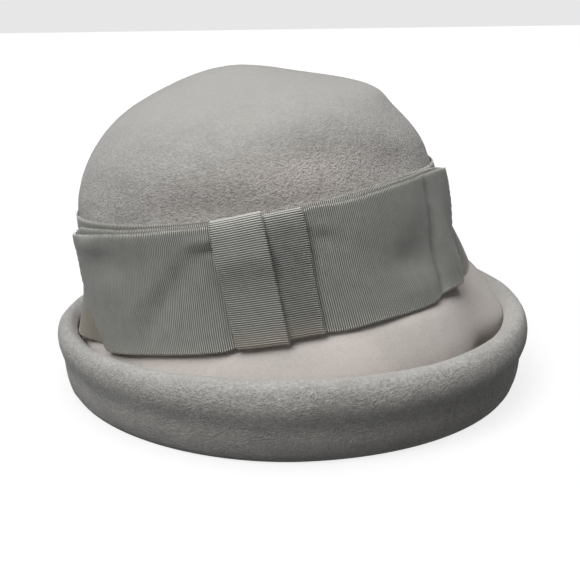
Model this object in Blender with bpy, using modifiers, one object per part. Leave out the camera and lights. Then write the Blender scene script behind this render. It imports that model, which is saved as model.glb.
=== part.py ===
# A lady's blocked wool felt hat: a domed crown that leans a little over a level brim, the brim turned
# up and rolled in all round, a grosgrain band round the crown, and on the band a flat tailored bow
# held by two upright grosgrain strips. The hat stands on the flat underside of its brim.
# Frame: X runs from the back of the hat (-X) to its front (+X), the bow is on the -Y side, Z is up.
# The origin is on the surface that the hat stands on, at the middle of the brim.

import math
import bpy
import numpy as np

MM = 0.001

# Driving dimensions, in millimetres and degrees
FELT = 2.5                    # thickness of the felt
RIBBON = 1.0                  # thickness of the ribbon
GAP = 0.35                    # clearance between neighbouring pieces

CROWN_LEAN = 8.6              # the crown's axis leans this much towards the back
CROWN_FOOT = (-6.8, 33.3)     # x and z of the crown axis at the headline
CROWN_RADIUS = 90.0           # its mean radius at the band

BRIM_MIDDLE = -2.5            # x of the middle of the brim's outline
BRIM_BACK_REACH = 112.5       # from that middle to the outline at the back,
BRIM_FRONT_REACH = 117.5      # at the front,
BRIM_SIDE_REACH = 119.5       # and at each side
BRIM_BACK_ROUNDNESS = 1.90    # exponent of the outline: 2 is an ellipse
BRIM_FRONT_ROUNDNESS = 2.06

ROLL_WIDTH = 17.0             # the turned-up rim, across
ROLL_HEIGHT = 37.6            # and from the floor to its crest
ROLL_SPREAD = 5.5             # its crest lies this much further out than its foot
ROLL_ROUNDNESS = 2.16         # exponent of its section
ROLL_NARROWER_BACK = 0.35     # share of the roll's width that is lost at the back,
ROLL_NARROWER_FRONT = 0.18    # and at the front

BAND_BOTTOM, BAND_TOP = 10.2, 61.3     # the band's edges, above the headline
BOW_BOTTOM, BOW_TOP = 9.2, 59.6        # the bow's edges
STRIP_BOTTOM, STRIP_TOP = 8.4, 62.1    # the upright strips' folded ends
STRIP_CORNER = 1.2                     # rounding of those folds
STRIP_TUCK = 1.6                       # how far out from the felt the folded ends stop
STRIP_STEPS = 4                        # faces up each strip between its folds,
STRIP_TURN_STEPS = 2                   # round each fold
STRIP_FACES_ACROSS = 3                 # and across its width

SEGMENTS = 24                 # sides of the felt's cage; subdivision doubles them
BAND_SEGMENTS = 2 * SEGMENTS
SHARP_ANGLE = 50.0            # edges sharper than this are shaded as edges

# The crown, from its wall up to its top: each row is a level section, in the crown's leaning frame.
# height, then how far the section reaches back, forward and to each side; rise is how much higher
# its back lies than its front. These are sizes of the felt's outer face.
CROWN_COLUMNS = ("height", "back", "front", "side", "rise")
CROWN_SECTIONS = (
    (3.0, 91.5, 98.0, 84.0, 6.0),
    (17.4, 92.1, 94.4, 81.3, 4.8),
    (50.0, 87.7, 86.4, 75.2, 2.0),
    (64.0, 85.6, 82.9, 72.6, 0.8),
    (77.0, 83.4, 80.9, 70.6, 1.8),
    (90.0, 75.6, 73.2, 63.6, 2.4),
    (104.0, 58.6, 56.0, 49.4, 2.4),
    (113.5, 33.0, 28.5, 26.5, 1.6),
)
CROWN_POLE = (-2.4, 118.0)    # x and height of the very top

# The rim's section as seen from the brim's inside: angle round the section from its outermost point,
# upwards. The flat row is the part that lies on the floor, as shares of the roll's width.
ROLL_ANGLES = (-48.0, -12.0, 25.0, 62.0, 98.0, 134.0)
FLAT_INSETS = (0.84, 0.71, 0.58, 0.45)
SKIRT_STEPS = (0.33, 0.66)
SKIRT_BULGE = 3.0             # how far the brim's top swells out between floor and crown,
SKIRT_LIFT = 0.4              # and how much of that it also rises

# The bow's ends: the ribbon reaches further round the crown at its upper edge than at its lower one.
# share is the place across the ribbon; back_end and front_end are angles round the crown, from +X.
BOW_COLUMNS = ("share", "back_end", "front_end")
BOW_ENDS = (
    (0.00, 214.0, 315.5),
    (0.17, 211.3, 322.5),
    (0.50, 206.8, 332.5),
    (0.81, 203.0, 341.0),
    (1.00, 200.5, 346.0),
)
BOW_BACK_OFFSET = 2.55        # middle of the bow's inner layer, out from the felt
BOW_FRONT_OFFSET = 4.05       # middle of its outer layer, at the strips
BOW_END_OFFSET = 5.0          # and where it turns back at its ends
BOW_SWELL_POWER = 4.0         # how late the outer layer rises towards the ends
BOW_STEPS = 24                # faces along each layer
BOW_TURN_STEPS = 5            # faces round each end

# The two upright strips: middle of the ribbon out from the felt, how far each folds over beyond the
# first one's ends, and their edges as angles round the crown at the lower and the upper end
STRIP_COLUMNS = ("name", "offset", "overlap", "low_back", "low_front", "high_back", "high_front")
STRIPS = (
    ("knot_strip_under", 5.6, 0.0, 266.5, 279.1, 266.0, 280.1),
    ("knot_strip_over", 7.0, 1.3, 258.6, 270.7, 256.3, 269.4),
)

COLOURS = {
    "wool_felt": ((0.56, 0.50, 0.45), 0.95),
    "band_grosgrain": ((0.42, 0.42, 0.37), 0.80),
    "bow_grosgrain": ((0.46, 0.46, 0.41), 0.78),
    "knot_grosgrain": ((0.50, 0.49, 0.43), 0.76),
}


def column(rows, names, name):
    return np.array([row[names.index(name)] for row in rows], float)


def ring_angles(count):
    return np.linspace(0.0, 2.0 * np.pi, count, endpoint=False)


def lean(local):
    # from the crown's own frame to the hat's: turned back about Y, then set on the headline
    angle = math.radians(CROWN_LEAN)
    x, y, w = local[..., 0], local[..., 1], local[..., 2]
    return np.stack([
        CROWN_FOOT[0] + math.cos(angle) * x - math.sin(angle) * w,
        y,
        CROWN_FOOT[1] + math.sin(angle) * x + math.cos(angle) * w,
    ], axis=-1)


def crown_point(angle, height, offset):
    # a point at this angle (radians) and height, this far out from the crown's outer face
    angle, height, offset = np.broadcast_arrays(
        np.asarray(angle, float), np.asarray(height, float), np.asarray(offset, float))
    levels = column(CROWN_SECTIONS, CROWN_COLUMNS, "height")
    size = {name: np.interp(height, levels, column(CROWN_SECTIONS, CROWN_COLUMNS, name))
            for name in ("back", "front", "side", "rise")}
    cosine, sine = np.cos(angle), np.sin(angle)
    reach = np.where(cosine < 0.0, size["back"], size["front"]) + offset
    x = reach * cosine
    y = (size["side"] + offset) * sine
    w = height - size["rise"] * 0.5 * cosine
    return lean(np.stack([x, y, w], axis=-1))


def outline_point(angle):
    # the brim's outline in plan: a superellipse with a reach and a roundness of its own on each half
    cosine, sine = np.cos(angle), np.sin(angle)
    reach = np.where(cosine < 0.0, BRIM_BACK_REACH, BRIM_FRONT_REACH)
    power = np.where(cosine < 0.0, BRIM_BACK_ROUNDNESS, BRIM_FRONT_ROUNDNESS)
    radius = (np.abs(cosine) ** power + np.abs(sine) ** power) ** (-1.0 / power)
    return np.stack([BRIM_MIDDLE + reach * radius * cosine, BRIM_SIDE_REACH * radius * sine], axis=-1)


def inward(angle):
    # unit vector square to the outline, pointing to the hat's middle
    step = 0.01
    along = outline_point(angle + step) - outline_point(angle - step)
    across = np.stack([-along[..., 1], along[..., 0]], axis=-1)
    return across / np.linalg.norm(across, axis=-1, keepdims=True)


def roll_scale(angle):
    cosine = np.cos(angle)
    loss = np.where(cosine < 0.0, ROLL_NARROWER_BACK, ROLL_NARROWER_FRONT)
    return 1.0 - loss * cosine ** 2


def brim_ring(angle, inset, height):
    # a ring of the brim: inset from the outline, scaled as the roll is, at one height
    inset = inset * roll_scale(angle)
    plan = outline_point(angle) + inward(angle) * inset[..., None]
    return np.concatenate([plan, np.full(angle.shape + (1,), height)], axis=-1)


def roll_section(degrees):
    # the middle of the felt round the rolled rim: a superellipse that leans outwards
    theta = math.radians(degrees)
    half_width = ROLL_WIDTH / 2.0 - FELT / 2.0
    half_height = ROLL_HEIGHT / 2.0 - FELT / 2.0
    power = 2.0 / ROLL_ROUNDNESS
    across = math.copysign(abs(math.cos(theta)) ** power, math.cos(theta))
    up = math.copysign(abs(math.sin(theta)) ** power, math.sin(theta))
    inset = ROLL_WIDTH / 2.0 - half_width * across - ROLL_SPREAD / 2.0 * up
    return inset, ROLL_HEIGHT / 2.0 + half_height * up


def felt_rings():
    # the middle of the felt as rings: down the crown, out along the brim, flat on the floor, up and in;
    # subdivision draws a ring of this many sides in a little, and the swell makes up for it
    angle = ring_angles(SEGMENTS)
    swell = 1.0 / (0.75 + 0.25 * math.cos(2.0 * np.pi / SEGMENTS))
    wall = [crown_point(angle, row[0], -FELT / 2.0) for row in reversed(CROWN_SECTIONS)]
    flat = [brim_ring(angle, ROLL_WIDTH * share, FELT / 2.0) for share in FLAT_INSETS]
    foot = wall[-1]
    outward = np.concatenate([-inward(angle), np.full((SEGMENTS, 1), SKIRT_LIFT)], axis=-1)
    skirt = [(1.0 - t) * flat[0] + t * foot + 4.0 * t * (1.0 - t) * SKIRT_BULGE * outward
             for t in SKIRT_STEPS]
    roll = [brim_ring(angle, *roll_section(degrees)) for degrees in ROLL_ANGLES]
    rings = np.array(wall + skirt[::-1] + flat + roll)
    middle = rings.mean(axis=1, keepdims=True)
    return (rings - middle) * np.array([swell, swell, 1.0]) + middle


def mesh_from_rows(rows, closed_round, closed_rows=False, pole=None):
    # quads between neighbouring rows of points; rows may close round, and the last may meet the first
    row_count, around = rows.shape[:2]
    points = [tuple(MM * value for value in point) for point in rows.reshape(-1, 3)]
    faces = []
    for i in range(row_count if closed_rows else row_count - 1):
        j = (i + 1) % row_count
        for k in range(around if closed_round else around - 1):
            m = (k + 1) % around
            faces.append((i * around + k, j * around + k, j * around + m, i * around + m))
    if pole is not None:
        points.append(tuple(MM * value for value in pole))
        faces += [(len(points) - 1, k, (k + 1) % around) for k in range(around)]
    return points, faces


def make_material(name):
    colour, roughness = COLOURS[name]
    material = bpy.data.materials.new(name)
    material.use_nodes = True
    shader = material.node_tree.nodes["Principled BSDF"]
    shader.inputs["Base Color"].default_value = (*colour, 1.0)
    shader.inputs["Roughness"].default_value = roughness
    shader.inputs["Metallic"].default_value = 0.0
    return material


def add_shell(name, points, faces, material, thickness, levels=0):
    # an open surface, smoothed from its cage where it has one, then given its thickness both ways
    mesh = bpy.data.meshes.new(name)
    mesh.from_pydata(points, [], faces)
    mesh.materials.append(material)
    mesh.shade_smooth()
    mesh.set_sharp_from_angle(angle=math.radians(SHARP_ANGLE))
    part = bpy.data.objects.new(name, mesh)
    collection.objects.link(part)
    if levels:
        smooth = part.modifiers.new("Smooth", "SUBSURF")
        smooth.levels = levels
        smooth.render_levels = levels
    wall = part.modifiers.new("Wall", "SOLIDIFY")
    wall.thickness = thickness * MM
    wall.offset = 0.0
    wall.use_even_offset = True
    wall.use_rim = True
    return part


def make_felt_body():
    pole = lean(np.array([CROWN_POLE[0], 0.0, CROWN_POLE[1] - FELT / 2.0]))
    points, faces = mesh_from_rows(felt_rings(), closed_round=True, pole=pole)
    return add_shell("felt_body", points, faces, make_material("wool_felt"), FELT, levels=1)


def make_hatband():
    angle = ring_angles(BAND_SEGMENTS)
    offset = GAP + RIBBON / 2.0
    levels = column(CROWN_SECTIONS, CROWN_COLUMNS, "height")
    between = levels[(levels > BAND_BOTTOM) & (levels < BAND_TOP)]
    heights = [BAND_TOP, *between[::-1], BAND_BOTTOM]
    rows = np.array([crown_point(angle, height, offset) for height in heights])
    points, faces = mesh_from_rows(rows, closed_round=True)
    return add_shell("hatband", points, faces, make_material("band_grosgrain"), RIBBON)


def bow_path(share):
    # once round the flat loop, at one place across the ribbon: angles and offsets from the felt
    shares = column(BOW_ENDS, BOW_COLUMNS, "share")
    back = np.radians(np.interp(share, shares, column(BOW_ENDS, BOW_COLUMNS, "back_end")))
    front = np.radians(np.interp(share, shares, column(BOW_ENDS, BOW_COLUMNS, "front_end")))
    along = np.linspace(0.0, 1.0, BOW_STEPS + 1)
    swell = np.abs(2.0 * along - 1.0) ** BOW_SWELL_POWER
    outer = BOW_FRONT_OFFSET + (BOW_END_OFFSET - BOW_FRONT_OFFSET) * swell
    turn = np.linspace(0.0, np.pi, BOW_TURN_STEPS + 1)[1:-1]
    radius = (BOW_END_OFFSET - BOW_BACK_OFFSET) / 2.0
    middle = BOW_BACK_OFFSET + radius
    reach = radius / CROWN_RADIUS      # the end's overhang, as an angle round the crown
    angles = [back + (front - back) * along, front + reach * np.sin(turn),
              front + (back - front) * along, back - reach * np.sin(turn)]
    offsets = [outer, middle + radius * np.cos(turn),
               np.full(BOW_STEPS + 1, BOW_BACK_OFFSET), middle - radius * np.cos(turn)]
    return np.concatenate(angles), np.concatenate(offsets)


def make_bow():
    rows = []
    for share in column(BOW_ENDS, BOW_COLUMNS, "share"):
        angle, offset = bow_path(share)
        rows.append(crown_point(angle, BOW_BOTTOM + (BOW_TOP - BOW_BOTTOM) * share, offset))
    points, faces = mesh_from_rows(np.array(rows), closed_round=True)
    return add_shell("bow_loop", points, faces, make_material("bow_grosgrain"), RIBBON)


def strip_path(offset, overlap):
    # up the front of the bow, with both ends turned in, round a quarter circle, over the ribbons' edges
    low, high = STRIP_BOTTOM - overlap, STRIP_TOP + overlap
    turn = np.linspace(0.0, np.pi / 2.0, STRIP_TURN_STEPS + 1)
    rise = STRIP_CORNER * (1.0 - np.cos(turn))
    inner = offset - STRIP_CORNER * (1.0 - np.sin(turn))
    between = np.linspace(low + STRIP_CORNER, high - STRIP_CORNER, STRIP_STEPS + 1)[1:-1]
    heights = [[low], low + rise, between, high - rise[::-1], [high]]
    offsets = [[STRIP_TUCK], inner, np.full(between.shape, offset), inner[::-1], [STRIP_TUCK]]
    return np.concatenate(heights), np.concatenate(offsets)


def make_strip(row):
    strip = dict(zip(STRIP_COLUMNS, row))
    heights, offsets = strip_path(strip["offset"], strip["overlap"])
    share = (heights - STRIP_BOTTOM) / (STRIP_TOP - STRIP_BOTTOM)
    back = np.radians(strip["low_back"] + (strip["high_back"] - strip["low_back"]) * share)
    front = np.radians(strip["low_front"] + (strip["high_front"] - strip["low_front"]) * share)
    rows = np.array([crown_point(back + (front - back) * across, heights, offsets)
                     for across in np.linspace(0.0, 1.0, STRIP_FACES_ACROSS + 1)])
    points, faces = mesh_from_rows(rows, closed_round=False)
    return add_shell(strip["name"], points, faces, knot_material, RIBBON)


for old in list(bpy.data.objects):
    bpy.data.objects.remove(old, do_unlink=True)
collection = bpy.data.collections.new("wool_felt_hat")
bpy.context.scene.collection.children.link(collection)
knot_material = make_material("knot_grosgrain")

make_felt_body()
make_hatband()
make_bow()
for strip_row in STRIPS:
    make_strip(strip_row)
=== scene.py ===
# Looks of the wool felt hat: the felt body with its uneven blocked surface and its nap, the grosgrain
# band, the flat tailored bow and its two upright strips with woven ribs and picot edges, on a pale
# floor in soft studio light. Sizes are in millimetres and degrees until a piece becomes a mesh.

import math
import bmesh
import bpy
import numpy as np
from mathutils import Matrix, Vector


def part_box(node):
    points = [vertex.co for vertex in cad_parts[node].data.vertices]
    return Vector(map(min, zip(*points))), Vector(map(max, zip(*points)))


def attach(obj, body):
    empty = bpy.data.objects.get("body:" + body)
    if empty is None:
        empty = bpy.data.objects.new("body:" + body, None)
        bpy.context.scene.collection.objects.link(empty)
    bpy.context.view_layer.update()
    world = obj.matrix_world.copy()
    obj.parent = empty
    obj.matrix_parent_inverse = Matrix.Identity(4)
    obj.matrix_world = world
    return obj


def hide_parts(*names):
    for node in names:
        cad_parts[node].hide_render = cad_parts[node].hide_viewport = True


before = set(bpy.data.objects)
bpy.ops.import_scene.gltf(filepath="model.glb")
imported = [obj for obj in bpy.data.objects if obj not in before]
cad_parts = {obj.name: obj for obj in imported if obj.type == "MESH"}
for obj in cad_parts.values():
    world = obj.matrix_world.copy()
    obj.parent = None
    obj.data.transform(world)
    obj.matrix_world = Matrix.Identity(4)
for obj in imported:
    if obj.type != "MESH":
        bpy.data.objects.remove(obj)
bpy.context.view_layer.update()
mm = 0.001


# Objects and shader nodes, for the light, the floor and every piece

def addObject(name, data):
    # a new object in the scene, at the origin
    made = bpy.data.objects.new(name, data)
    bpy.context.scene.collection.objects.link(made)
    return made


def setInputs(tree, node, values):
    # each named input takes a number, a colour or another node's output
    for title, value in values.items():
        socket = node.inputs[title]
        if isinstance(value, bpy.types.NodeSocket):
            tree.links.new(value, socket)
        else:
            socket.default_value = (*value, 1.0) if socket.type == "RGBA" else value


def addNode(tree, kind, values, **settings):
    # one node of this kind with its settings and its inputs
    node = tree.nodes.new("ShaderNode" + kind)
    for title, value in settings.items():
        setattr(node, title, value)
    setInputs(tree, node, values)
    return node


def addMath(tree, operation, *values):
    # one sum, product or other step of arithmetic
    return addNode(tree, "Math", dict(enumerate(values)), operation=operation).outputs[0]


def product(tree, total, *values):
    # all the values multiplied together, one after another
    for value in values:
        total = addMath(tree, "MULTIPLY", total, value)
    return total


def addNoise(tree, vector, scale, detail, roughness=0.5):
    # soft noise between 0 and 1: how fine, how many finer layers, and how strong those are
    values = {"Vector": vector, "Scale": scale, "Detail": detail, "Roughness": roughness}
    return addNode(tree, "TexNoise", values).outputs["Fac"]


def addRange(tree, value, low, high):
    # the value carried smoothly to 0 at the low end and 1 at the high end
    values = {"Value": value, "From Min": low, "From Max": high}
    return addNode(tree, "MapRange", values, interpolation_type="SMOOTHSTEP").outputs["Result"]


def addMix(tree, factor, first, second, blend="MIX"):
    # the second colour over the first, by the factor
    values = {"Factor": factor, 6: first, 7: second}
    return addNode(tree, "Mix", values, data_type="RGBA", blend_type=blend).outputs[2]


def addGroup(tree, group, **values):
    # a shared effect with this material's own values
    return addNode(tree, "Group", values, node_tree=group).outputs


def addAttribute(tree, name, output="Fac"):
    # a value that the mesh holds for each of its points
    return addNode(tree, "Attribute", {}, attribute_name=name).outputs[output]


def objectPlace(tree):
    # each point's place on the object
    return addNode(tree, "TexCoord", {}).outputs["Object"]


def addBump(tree, shader, height, strength, distance):
    # fine relief: the height tilts the surface without moving it
    values = {"Height": height, "Strength": strength, "Distance": distance}
    setInputs(tree, shader, {"Normal": addNode(tree, "Bump", values).outputs[0]})


def newMaterial(name, surface):
    # a material with its roughness, sheen, the sheen's roughness and its specular level
    material = bpy.data.materials.new(name)
    material.use_nodes = True
    tree = material.node_tree
    shader = tree.nodes["Principled BSDF"]
    titles = ("Roughness", "Sheen Weight", "Sheen Roughness", "Specular IOR Level")
    setInputs(tree, shader, dict(zip(titles, surface)))
    return material, tree, shader


# Camera, light and floor

view = {
    "place": (-27.8, -433.4, 168.8),
    "yaw": 3.614,          # turned towards the hat's front
    "pitch": 16.674,       # tipped down
    "roll": -0.779,
    "lens": 55.68,
    "sensor": 36.0,
    "clip": (0.01, 50.0),  # nearest and furthest that it sees, in metres
}

light = {
    "sky": 0.05,           # strength of the even light all round
    "floorColour": (0.22, 0.22, 0.22),
    "floorSurface": (0.9, 0.0, 0.5, 0.1),     # roughness, sheen, the sheen's roughness, specular level
    "floorGlow": 0.80,     # the floor is mostly lit from within, as a light table is, and grows
    "glowReach": 1400.0,   # to plain white this far out
    "floorSize": 40000.0,
    # name, place, aimed at, width, depth, watts
    "boxes": (
        ("topBox", (0.0, 0.0, 2600.0), (0.0, 0.0, 60.0), 2000.0, 2000.0, 39.0),
        ("keyBox", (-1180.0, -1180.0, 2050.0), (0.0, 0.0, 60.0), 1300.0, 1300.0, 36.5),
        ("fillBox", (900.0, -1500.0, 300.0), (0.0, 0.0, 30.0), 1000.0, 700.0, 2.0),
    ),
}


def makeCamera():
    # looks along +Y, turned by yaw towards +X, tipped down by pitch, then rolled about its own axis
    yaw, pitch, roll = (math.radians(view[name]) for name in ("yaw", "pitch", "roll"))
    forward = np.array([math.sin(yaw) * math.cos(pitch), math.cos(yaw) * math.cos(pitch), -math.sin(pitch)])
    side = np.array([math.cos(yaw), -math.sin(yaw), 0.0])
    up = np.cross(side, forward)
    right = math.cos(roll) * side + math.sin(roll) * up
    top = -math.sin(roll) * side + math.cos(roll) * up
    data = bpy.data.cameras.new("camera")
    data.lens = view["lens"]
    data.sensor_width = view["sensor"]
    data.clip_start, data.clip_end = view["clip"]
    camera = addObject("camera", data)
    place = np.array(view["place"]) * mm
    camera.matrix_world = Matrix([[*row] for row in np.column_stack([right, top, -forward, place])]
                                 + [[0.0, 0.0, 0.0, 1.0]])
    bpy.context.scene.camera = camera


def makeLights():
    # each softbox is a rectangle of light turned to face its aim
    for name, place, aim, width, depth, watts in light["boxes"]:
        data = bpy.data.lights.new(name, "AREA")
        data.shape = "RECTANGLE"
        data.size = width * mm
        data.size_y = depth * mm
        data.energy = watts
        place, aim = (Vector([value * mm for value in spot]) for spot in (place, aim))
        facing = (aim - place).to_track_quat("-Z", "Y").to_matrix().to_4x4()
        addObject(name, data).matrix_world = Matrix.Translation(place) @ facing
    world = bpy.data.worlds.new("studio")
    bpy.context.scene.world = world
    world.use_nodes = True
    tree = world.node_tree
    sky = tree.nodes["Background"]
    setInputs(tree, sky, {"Strength": light["sky"], "Color": (1.0, 1.0, 1.0)})
    backdrop = addNode(tree, "Background", {"Strength": 1.0})     # seen past the floor's far edge
    rays = addNode(tree, "LightPath", {}).outputs["Is Camera Ray"]
    mix = addNode(tree, "MixShader", {0: rays, 1: sky.outputs[0], 2: backdrop.outputs[0]})
    setInputs(tree, tree.nodes["World Output"], {"Surface": mix.outputs[0]})
    bpy.context.scene.view_settings.view_transform = "Standard"


def makeFloor():
    # one wide square whose glow grows with the distance from the hat
    half = light["floorSize"] * mm / 2.0
    mesh = bpy.data.meshes.new("floor")
    mesh.from_pydata([(-half, -half, 0.0), (half, -half, 0.0), (half, half, 0.0), (-half, half, 0.0)],
                     [], [(0, 1, 2, 3)])
    floor = addObject("floor", mesh)
    material, tree, shader = newMaterial("paleFloor", light["floorSurface"])
    distance = addNode(tree, "VectorMath", {0: objectPlace(tree)}, operation="LENGTH").outputs["Value"]
    glow = {"Value": distance, "From Max": light["glowReach"] * mm, "To Min": light["floorGlow"]}
    glow = addNode(tree, "MapRange", glow).outputs["Result"]
    setInputs(tree, shader, {"Base Color": light["floorColour"], "Emission Color": glow,
                             "Emission Strength": 1.0})
    mesh.materials.append(material)
    floor.visible_diffuse = False     # a cut-out table: it throws no light back under the brim


makeCamera()
makeLights()
makeFloor()
print("camera, lights and floor are in place")


# Numbers and grids that every piece uses

def curveThrough(at, knots, values):
    # a smooth curve through the knots: on each span a cubic with the slopes found from its neighbours
    knots, values, at = (np.asarray(v, float) for v in (knots, values, at))
    slopes = np.gradient(values, knots)
    span = np.clip(np.searchsorted(knots, at, side="right") - 1, 0, len(knots) - 2)
    width = knots[span + 1] - knots[span]
    t = np.clip((at - knots[span]) / width, 0.0, 1.0)
    return ((1 + 2 * t) * (1 - t) ** 2 * values[span] + t ** 2 * (3 - 2 * t) * values[span + 1]
            + width * t * (1 - t) ** 2 * slopes[span] - width * t ** 2 * (1 - t) * slopes[span + 1])


def curvesIn(table, at, knots, *names):
    # the smooth curves through these rows of a piece's table, above the row of knots
    return [curveThrough(at, table[knots], table[name]) for name in names]


def lengthsAlong(line):
    # distance from a line's first point to each of its points
    return np.concatenate([[0.0], np.cumsum(np.linalg.norm(np.diff(line, axis=0), axis=-1))])


def unit(vectors):
    # the same directions, each one long
    return vectors / np.maximum(np.linalg.norm(vectors, axis=-1, keepdims=True), 1e-9)


def climb(values, start, over):
    # from 0 at the start up to 1 where the values have gone that much over it
    return np.clip((values - start) / over, 0.0, 1.0)


def fall(values, start, under):
    # from 0 at the start up to 1 where the values have gone that much under it
    return np.clip((start - values) / under, 0.0, 1.0)


def hump(values, centre, spread):
    # a bell: 1 at the centre, and nearly 0 at twice the spread from it
    return np.exp(-((values - centre) / spread) ** 2)


def gridNormals(grid, closed=True):
    # unit vectors square to a surface given as rows and columns of points: down the rows x along them
    along = np.roll(grid, -1, 1) - np.roll(grid, 1, 1) if closed else np.gradient(grid, axis=1)
    return unit(np.cross(np.gradient(grid, axis=0), along))


def faceOut(normals, grid, column):
    # the same normals, turned all together so that at this column they point away from the hat's axis
    place = grid[len(grid) // 2, column]
    return normals * np.sign(np.sum(normals[len(grid) // 2, column, :2] * place[:2]))


def waves(points, size, height, count, seed):
    # gentle unevenness: the sum of plane waves of about this length, in random directions and phases
    random = np.random.default_rng(seed)
    directions = unit(random.normal(size=(count, 3)))
    lengths = size * random.uniform(0.7, 1.6, count)
    phases = random.uniform(0.0, 2.0 * np.pi, count)
    total = np.zeros(points.shape[:-1])
    for direction, length, phase in zip(directions, lengths, phases):
        total += np.sin(points @ direction * (2.0 * np.pi / length) + phase)
    return height * total / math.sqrt(count)


def gridFaces(rows, columns, closedRows, closedColumns):
    # quads between neighbouring rows and columns, wound so that they face along the grid's normals
    i = np.arange(rows if closedRows else rows - 1)[:, None]
    j = np.arange(columns if closedColumns else columns - 1)[None, :]
    below, beside = (i + 1) % rows, (j + 1) % columns
    corners = [i * columns + j, below * columns + j, below * columns + beside, i * columns + beside]
    corners = np.broadcast_arrays(*corners)
    return np.stack(corners, axis=-1).reshape(-1, 4)


def makePiece(name, points, faceSets, material, attributes=()):
    # one mesh from points in millimetres and arrays of faces; attributes hold a value for each point
    mesh = bpy.data.meshes.new(name)
    loops = np.concatenate([faces.ravel() for faces in faceSets])
    sizes = np.concatenate([np.full(len(faces), faces.shape[1]) for faces in faceSets])
    mesh.vertices.add(len(points))
    mesh.vertices.foreach_set("co", (points * mm).astype(np.float32).ravel())
    mesh.loops.add(len(loops))
    mesh.loops.foreach_set("vertex_index", loops.astype(np.int32))
    mesh.polygons.add(len(sizes))
    mesh.polygons.foreach_set("loop_start", np.concatenate([[0], np.cumsum(sizes)[:-1]]).astype(np.int32))
    mesh.update(calc_edges=True)
    shape = bmesh.new()
    shape.from_mesh(mesh)
    bmesh.ops.recalc_face_normals(shape, faces=shape.faces)     # every face turned to point out of the shell
    shape.to_mesh(mesh)
    shape.free()
    mesh.polygons.foreach_set("use_smooth", np.ones(len(sizes), bool))
    for title, values in attributes:
        kind = "FLOAT_VECTOR" if values.ndim == 2 else "FLOAT"
        layer = mesh.attributes.new(title, kind, "POINT")
        field = "vector" if values.ndim == 2 else "value"
        layer.data.foreach_set(field, values.astype(np.float32).ravel())
    mesh.materials.append(material)
    piece = addObject(name, mesh)
    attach(piece, "root")
    return piece


# The crown's frame and the brim's plan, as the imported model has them

feltLow, feltHigh = (np.array(corner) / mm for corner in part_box("felt_body"))

crown = {
    "lean": 8.6,
    "foot": (-6.8, 33.3),
    # level rings of the wall, up to the shoulder: height, reach to the back, front and sides, and how
    # much higher the ring stands behind than in front
    "height": (3.0, 17.4, 31.0, 50.0, 64.0, 77.0, 90.0, 101.0, 112.0),
    "back": (91.5, 92.1, 90.2, 87.7, 86.2, 81.5, 72.5, 57.6, 30.9),
    "front": (98.0, 93.8, 88.6, 86.2, 83.6, 77.6, 68.5, 59.5, 26.6),
    "side": (84.0, 81.3, 78.8, 75.2, 72.6, 70.6, 63.6, 49.4, 26.5),
    "rise": (6.0, 4.8, 3.6, 2.0, 0.8, 1.8, 1.5, 5.0, 3.6),
    "pole": (-5.0, 119.8),
}

brim = {
    "middle": -2.5,
    "backRoundness": 1.90,
    "frontRoundness": 2.06,
    "rollWidth": 17.0,
    "rollHeight": 37.6,
    "lowerBack": (6.0, 1.3),   # the rim stands this much lower behind, eased in by this power
    "rollSpread": 5.5,
    "rollRoundness": 2.16,
    "narrowerBack": 0.35,
    "narrowerFront": 0.18,
    "rollAngles": (-48.0, -12.0, 25.0, 62.0, 98.0, 134.0),
    "flatInsets": (0.84, 0.71, 0.58, 0.45),
    "skirtSteps": (0.66, 0.33),
    "skirtBulge": 3.0,
    "skirtLift": 0.4,
    # where the skirt swells out to the rim or falls back: angle, spread in degrees, by how much
    "fuller": ((346.0, 20.0, 5.0), (330.0, 9.0, -3.2)),
    # the ledge just under the ribbons, where the wall turns out into the skirt: how high and how far out
    "ledgeAngle": (0.0, 50.0, 90.0, 130.0, 165.0, 190.0, 203.0, 217.0, 235.0,
                   248.0, 258.0, 279.0, 288.0, 300.0, 312.0, 322.0, 345.0, 360.0),
    "ledgeHeight": (8.8, 8.2, 6.4, 6.2, 7.0, 4.4, 4.0, 4.4, 7.0, 8.0, 8.2, 9.4, 9.9, 9.9, 9.7, 9.6, 9.4, 8.8),
    "ledgeReach": (3.0, 3.0, 3.0, 2.8, 2.5, 4.0, 5.8, 5.4, 5.4, 6.4, 5.8, 6.0, 6.8, 7.0, 6.0, 3.6, 3.0, 3.0),
    "ledgeTurn": (-0.4, -1.2, -2.2),  # height and offset of the ring above the turn, height of the one below
}


def leanCrown(local):
    # from the crown's own frame to the hat's: turned back about Y, then set on the headline
    angle = math.radians(crown["lean"])
    x, y, w = local[..., 0], local[..., 1], local[..., 2]
    return np.stack([crown["foot"][0] + math.cos(angle) * x - math.sin(angle) * w, y,
                     crown["foot"][1] + math.sin(angle) * x + math.cos(angle) * w], axis=-1)


def crownPoint(angle, height, offset):
    # a level oval at this height, with a reach of its own to the back, the front and each side,
    # grown by the offset; angle is in radians from the hat's front
    angle, height, offset = np.broadcast_arrays(*(np.asarray(v, float) for v in (angle, height, offset)))
    back, front, side, rise = (np.interp(height, crown["height"], crown[name])
                               for name in ("back", "front", "side", "rise"))
    cosine, sine = np.cos(angle), np.sin(angle)
    reach = np.where(cosine < 0.0, back, front) + offset
    height = height - rise * 0.5 * cosine
    return leanCrown(np.stack([reach * cosine, (side + offset) * sine, height], axis=-1))


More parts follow.
